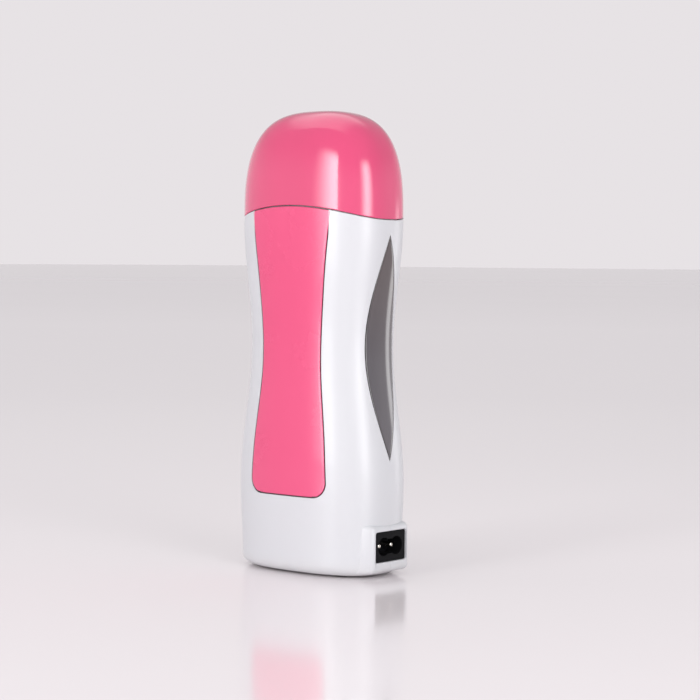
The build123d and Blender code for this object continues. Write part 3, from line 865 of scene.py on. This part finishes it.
# Black socket with its figure-of-eight recess
def socketBody():
    blackPlastic = materials["black_plastic"]
    centre = (socket["low"] + socket["high"]) / 2
    face = roundedBox((socketLow.x, -socket["half"], socket["low"]),
                      (socketHigh.x, socket["half"], socket["high"]), socket["corner"], 0)
    piece = newPiece("blackSocket", face, blackPlastic, "body", ["inlet_socket"])
    cutters = []
    start, past = socketHigh.x - socket["recess"], socketHigh.x + socket["clear"]
    length, offset = socket["recess"] + socket["clear"], socket["spacing"] / 2
    lobe = [(0, 0), (socket["lobe"], 0), (socket["lobe"], length), (0, length)]
    for side in (-1, 1):
        place = Matrix.Translation((start, side * offset, centre))
        cutters.append(cutterFrom(turned(lobe, place @ Matrix.Rotation(pi / 2, 4, "Y"))))
    bar = roundedBox((start, -offset, centre - socket["neck"] / 2),
                     (past, offset, centre + socket["neck"] / 2), socket["barCorner"], 0)
    cutters.append(cutterFrom(bar))
    carve(piece, cutters, blackPlastic)
    softenEdges(piece, socket["softEdge"], 3, 35)
    front = block["root"]
    collar = roundedBox((front - socket["collarThickness"], socketLow.y, socketLow.z),
                        (front, socketHigh.y, socketHigh.z), socket["corner"], 0)
    ring = newPiece("socketCollar", collar, blackPlastic, "body", ["inlet_socket"])
    softenEdges(ring, socket["softEdge"])


socketBody()
print("inlet ready")

# Rubber feet
feet = {
    "radius": 0.0040,
    "thickness": 0.0020,
    "round": 0.0005,
    "roundSteps": 4,
    "segments": 40,
    "places": (0.0220, 0.0105),
}


def footOutline():
    radius, edge, steps = feet["radius"], feet["round"], feet["roundSteps"]
    outline = [(0, 0), (radius - 2 * edge, 0.0), (radius - edge, 0.0)]
    for step in range(1, steps + 1):
        turn = step / steps * pi / 2
        outline.append((radius - edge * (1 - sin(turn)), edge * (1 - cos(turn))))
    return outline + [(radius, feet["thickness"]), (0, feet["thickness"])]


acrossFoot, deepFoot = feet["places"]
footPlaces = [(x, y) for x in (-acrossFoot, acrossFoot) for y in (-deepFoot, deepFoot)]
for number, (x, y) in enumerate(footPlaces, 1):
    foot = turned(footOutline(), Matrix.Translation((x, y, 0)), feet["segments"])
    newPiece(f"rubberFoot{number}", foot, materials["rubber"], "body", ["rubber_feet"])
print("feet ready")

# Floor and light. Each light is set by its direction from the object, in degrees round from the front.
stage = {
    "floor": colour(0.92, 0.865, 0.885),
    "floorDeep": colour(0.89, 0.835, 0.855),
    "floorSize": 40.0,
    "floorRoughness": 0.13,
    "aimHeight": 0.13,
    "wallShade": (0.80, 0.765, 0.785, 1),
    "ceilingShade": (0.47, 0.465, 0.475, 1),
    "ceilingRamp": (0.12, 0.45),
}
overheadPanel = {
    "offset": (-0.38, 0.2, 1.0),
    "size": (1.4, 1.45),
    "radiance": 0.88,
    "soft": (0.25, 0.35, 0.25),
}
lights = {
    # azimuth range, elevation range, distance, radiance, soft share of the left, right and top edges
    "keyStrip": ((-29.0, 4.2), (-6.0, 34.0), 1.0, 8.0, (0.92, 0.02, 0.30)),
    "sideStrip": ((49.0, 94.0), (-6.0, 33.0), 1.0, 6.2, (0.5, 0.5, 0.30)),
    "rearPanel": ((143.0, 164.0), (-16.0, 10.0), 0.45, 1.9, (0.2, 0.5, 0.30)),
}


def floor():
    bm = bmesh.new()
    bmesh.ops.create_grid(bm, x_segments=1, y_segments=1, size=stage["floorSize"])
    mesh = bpy.data.meshes.new("floor")
    bm.to_mesh(mesh)
    bm.free()
    ground = bpy.data.objects.new("floor", mesh)
    bpy.context.scene.collection.objects.link(ground)
    paint = Paint("paleFloor")
    paint.set(Base_Color=paint.mix(paint.noise(1.0), stage["floor"], stage["floorDeep"]),
              Roughness=stage["floorRoughness"])
    mesh.materials.append(paint.material)


def areaLight(name, place, aim, size, radiance, soft):
    data = bpy.data.lights.new(name, "AREA")
    data.shape = "RECTANGLE"
    data.size, data.size_y = size
    data.energy = radiance * size[0] * size[1] * pi
    data.use_nodes = True
    shading = Shading(data.node_tree)
    across = shading.node("ShaderNodeNewGeometry", output="Parametric")
    left, right, top = soft
    u, v = shading.split(across, "X"), shading.split(across, "Y")
    glow = shading.ramp(u, 0, left) * shading.ramp(u, 1, 1 - right) * shading.ramp(v, 1, 1 - top)
    data.node_tree.links.new(glow.socket, data.node_tree.nodes["Emission"].inputs["Strength"])
    lamp = bpy.data.objects.new(name, data)
    bpy.context.scene.collection.objects.link(lamp)
    lamp.location = place
    lamp.rotation_euler = (aim - place).to_track_quat("-Z", "Y").to_euler()
    lamp.visible_camera = False


def lighting():
    world = bpy.data.worlds.new("studio")
    bpy.context.scene.world = world
    world.use_nodes = True
    shading = Shading(world.node_tree)
    height = shading.split(shading.node("ShaderNodeTexCoord", output="Generated"), "Z")
    upward = shading.ramp(height, *stage["ceilingRamp"])
    room = shading.mix(upward, stage["wallShade"], stage["ceilingShade"])
    world.node_tree.links.new(room.socket, world.node_tree.nodes["Background"].inputs["Color"])
    centre = Vector((0, 0, stage["aimHeight"]))
    for name, ((start, end), (low, high), distance, radiance, soft) in lights.items():
        turn = radians((start + end) / 2)
        foot, top = (tan(radians(part)) * distance for part in (low, high))
        outward = Vector((sin(turn), -cos(turn), 0)) * distance
        place = centre + outward + Vector((0, 0, (foot + top) / 2))
        width = 2 * distance * tan(radians(end - start) / 2)
        areaLight(name, place, Vector((0, 0, place.z)), (width, top - foot), radiance, soft)
    overhead = centre + Vector(overheadPanel["offset"])
    areaLight("ceilingPanel", overhead, overhead - Vector((0, 0, 1)), overheadPanel["size"],
              overheadPanel["radiance"], overheadPanel["soft"])


def camera():
    settings = {
        "azimuth": radians(41.0),
        "distance": 0.932,
        "height": 0.141,
        "aimHeight": 0.1003,
        "aimRight": 0.0128,
        "lens": 104.8,
        "roll": radians(0.4),
    }
    data = bpy.data.cameras.new("camera")
    data.lens = settings["lens"]
    data.sensor_width = 36.0
    viewer = bpy.data.objects.new("camera", data)
    bpy.context.scene.collection.objects.link(viewer)
    turn = settings["azimuth"]
    place = Vector((sin(turn), -cos(turn), 0)) * settings["distance"]
    place.z = settings["height"]
    target = Vector((cos(turn), sin(turn), 0)) * settings["aimRight"]
    target.z = settings["aimHeight"]
    look = (target - place).to_track_quat("-Z", "Y").to_matrix().to_4x4()
    viewer.matrix_world = Matrix.Translation(place) @ look @ Matrix.Rotation(settings["roll"], 4, "Z")
    bpy.context.scene.camera = viewer


floor()
lighting()
camera()
bpy.context.scene.view_settings.view_transform = "Standard"
print("stage ready")
